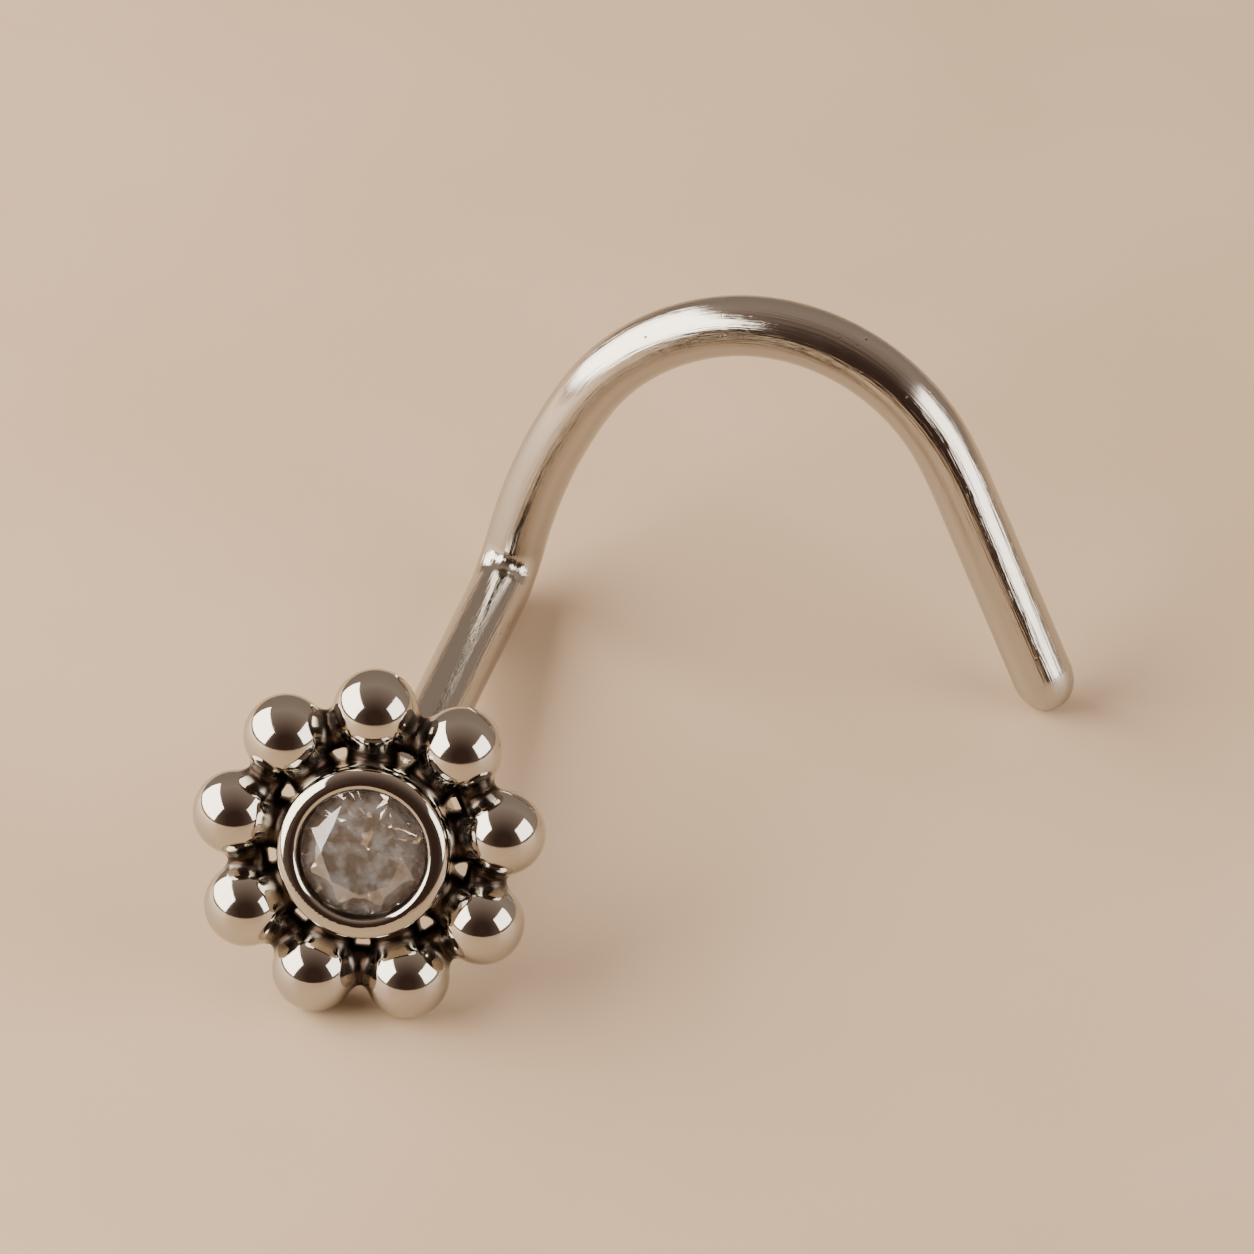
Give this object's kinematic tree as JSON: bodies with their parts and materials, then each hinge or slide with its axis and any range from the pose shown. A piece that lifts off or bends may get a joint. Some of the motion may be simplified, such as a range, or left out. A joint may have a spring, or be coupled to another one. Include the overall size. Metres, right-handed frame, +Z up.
{
  "type": "nose stud",
  "caption": "Screw-type nose stud: a flower of small steel balls round a bezel-set clear stone, on a wire post bent into an open hook",
  "frame": {"origin": "middle of the underside: the floor point under the centre of the stud's box as it lies at rest", "axes": "+Z up, +X from the flower head's side to the end of the hook, -Y the side that the stone faces"},
  "size_m": [0.0114, 0.0096, 0.0051],
  "materials": {
    "polished_steel": "mirror-polished surgical steel with fine drawing marks",
    "clear_stone": "cut and polished clear zirconia"
  },
  "bodies": {
    "root": {"beaded_setting_with_hook": "polished_steel", "stone": "clear_stone"}
  },
  "joints": []
}
